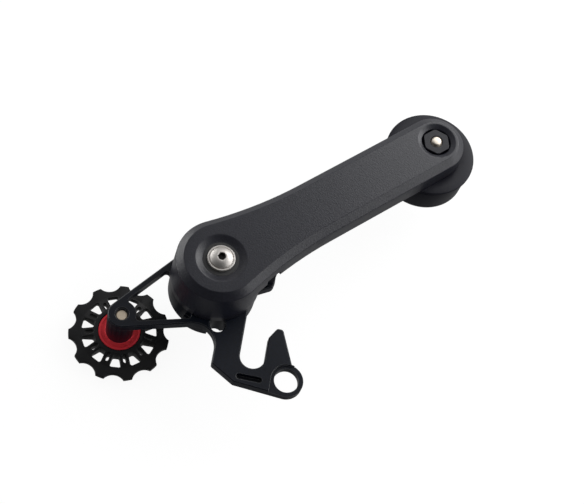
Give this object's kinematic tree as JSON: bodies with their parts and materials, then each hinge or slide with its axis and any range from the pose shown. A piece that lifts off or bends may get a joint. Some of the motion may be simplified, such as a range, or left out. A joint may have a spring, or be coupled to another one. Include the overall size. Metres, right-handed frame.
{
  "type": "bicycle chain tensioner",
  "caption": "Sprung bicycle chain tensioner: slotted hanger with fixing eye and toothed jockey wheel on a bracket, and a long moulded arm with a flanged roller at its tip.",
  "frame": {"origin": "on the fixing eye's axis, at the back face of the hanger plate", "axes": "+Z along the pivot axis, towards the outer side of the arm; +Y along the axle slot, towards its mouth; +X to the side of the arm's roller"},
  "size_m": [0.1572, 0.1413, 0.0499],
  "materials": {
    "black_anodised": "satin black anodised",
    "arm_plastic": "fine textured charcoal",
    "bush_polymer": "plain",
    "steel": "zinc plated",
    "stainless": "bright",
    "spring_steel": "oiled",
    "wheel_black": "satin black anodised",
    "cover_red": "red anodised",
    "bearing_steel": "ground",
    "seal_rubber": "moulded",
    "roller_plastic": "charcoal, smoother on the body",
    "nut_black": "black oxide"
  },
  "bodies": {
    "hanger": {"hanger": "black_anodised", "pivot_axle": "steel", "pivot_bolt": "stainless", "pivot_thrust_washer": "bush_polymer", "torsion_spring": "spring_steel", "jockey_bolt": "stainless", "jockey_spacer": "black_anodised", "jockey_cover_front": "cover_red", "jockey_cover_rear": "cover_red", "jockey_bearing_inner": "bearing_steel"},
    "arm": {"arm": "arm_plastic", "arm_bush_front": "bush_polymer", "arm_bush_rear": "bush_polymer", "roller_bolt": "stainless", "roller_nut": "nut_black", "roller_spacer": "steel", "roller_washer": "steel", "roller_bearing_inner": "bearing_steel"},
    "jockey_wheel": {"jockey_wheel": "wheel_black", "jockey_bearing_outer": "bearing_steel", "jockey_bearing_balls": "bearing_steel", "jockey_bearing_seals": "seal_rubber"},
    "roller": {"roller": "roller_plastic", "roller_bearing_outer": "bearing_steel", "roller_bearing_balls": "bearing_steel", "roller_bearing_seals": "seal_rubber"}
  },
  "joints": [
    {"name": "arm_pivot", "type": "hinge", "parent": "hanger", "child": "arm", "pos_m": [-0.0364, 0.0373, 0.015], "axis": [0, 0, 1], "range_deg": [0, 100], "stiffness_Nm_per_rad": 0.8, "springref_deg": -51.57, "deforming": ["torsion_spring"]},
    {"name": "jockey_spin", "type": "hinge", "parent": "hanger", "child": "jockey_wheel", "pos_m": [-0.0708, 0.0137, -0.0167], "axis": [0, 0, 1], "continuous": true},
    {"name": "roller_spin", "type": "hinge", "parent": "arm", "child": "roller", "pos_m": [0.0456, 0.11403, 0.0073], "axis": [0, 0, 1], "continuous": true}
  ]
}
